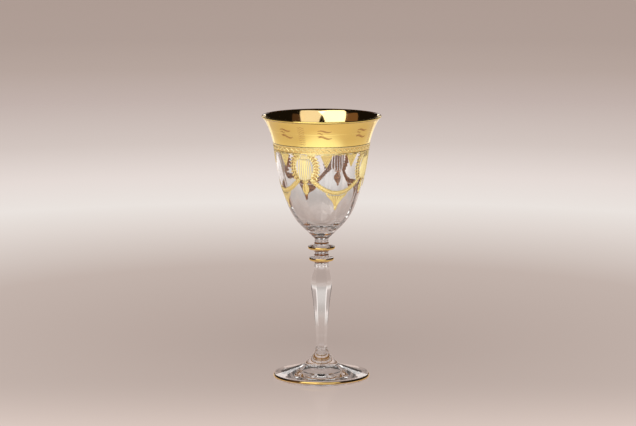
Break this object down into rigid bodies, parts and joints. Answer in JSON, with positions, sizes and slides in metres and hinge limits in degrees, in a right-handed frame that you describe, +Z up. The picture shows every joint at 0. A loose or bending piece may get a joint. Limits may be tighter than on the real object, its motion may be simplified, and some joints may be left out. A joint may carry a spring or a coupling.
{
  "type": "red wine glass",
  "caption": "Stemmed red wine glass with a flared optic bowl, gilt rim band and hanging festoons, beaded collars, a faceted baluster stem and a round gilt-edged foot.",
  "frame": {"origin": "centre of the plane that the foot stands on", "axes": "+Z up along the glass's axis; -Y is the front that the picture shows; +X is to its right"},
  "size_m": [0.0882, 0.0882, 0.1949],
  "materials": {
    "crystal": "clear fire-polished crystal glass",
    "gilding": "fired and burnished gold gilding"
  },
  "bodies": {
    "root": {"foot": "crystal", "stem": "crystal", "lower_collar": "crystal", "lower_bead": "crystal", "upper_collar": "crystal", "upper_bead": "crystal", "bowl_button": "crystal", "bowl": "crystal", "foot_edge_gilding": "gilding", "lower_collar_gilding": "gilding", "upper_collar_gilding": "gilding", "rim_band_gilding": "gilding", "border_gilding": "gilding", "rim_lining_gilding": "gilding", "lip_gilding": "gilding", "swag_gilding_1": "gilding", "pendant_gilding_1": "gilding", "tassel_gilding_1": "gilding", "lattice_gilding_1_left": "gilding", "lattice_gilding_1_right": "gilding", "swag_gilding_2": "gilding", "pendant_gilding_2": "gilding", "tassel_gilding_2": "gilding", "lattice_gilding_2_left": "gilding", "lattice_gilding_2_right": "gilding", "swag_gilding_3": "gilding", "pendant_gilding_3": "gilding", "tassel_gilding_3": "gilding", "lattice_gilding_3_left": "gilding", "lattice_gilding_3_right": "gilding", "swag_gilding_4": "gilding", "pendant_gilding_4": "gilding", "tassel_gilding_4": "gilding", "lattice_gilding_4_left": "gilding", "lattice_gilding_4_right": "gilding"}
  },
  "joints": []
}
